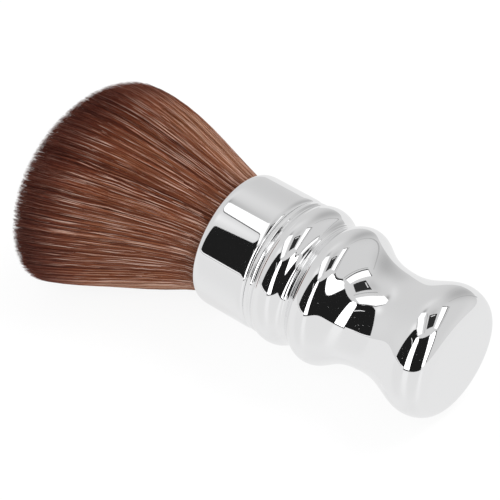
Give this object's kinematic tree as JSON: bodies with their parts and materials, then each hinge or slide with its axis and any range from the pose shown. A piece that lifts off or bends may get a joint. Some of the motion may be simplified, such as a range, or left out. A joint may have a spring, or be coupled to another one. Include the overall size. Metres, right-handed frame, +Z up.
{
  "type": "neck duster brush",
  "caption": "Turned chrome-plated handle with a ferrule and a soft flared tuft, lying on its side, for brushing cut hair off the neck.",
  "frame": {"origin": "on the floor, under the middle of the brush's bounding box as it lies", "axes": "+X along the brush as it lies, towards the handle's flat end; +Z up"},
  "size_m": [0.15, 0.0776, 0.0638],
  "materials": {
    "chrome_plate": "mirror plating on moulded plastic",
    "cup_plastic": "as moulded",
    "potting_resin": "cast",
    "band_metal": "satin",
    "filament": "soft brown filaments with darker tips"
  },
  "bodies": {
    "root": {"handle_body": "chrome_plate", "ferrule": "chrome_plate", "knot_cup": "cup_plastic", "potting_resin": "potting_resin", "knot_band": "band_metal", "bristle_tuft": "filament"}
  },
  "joints": []
}
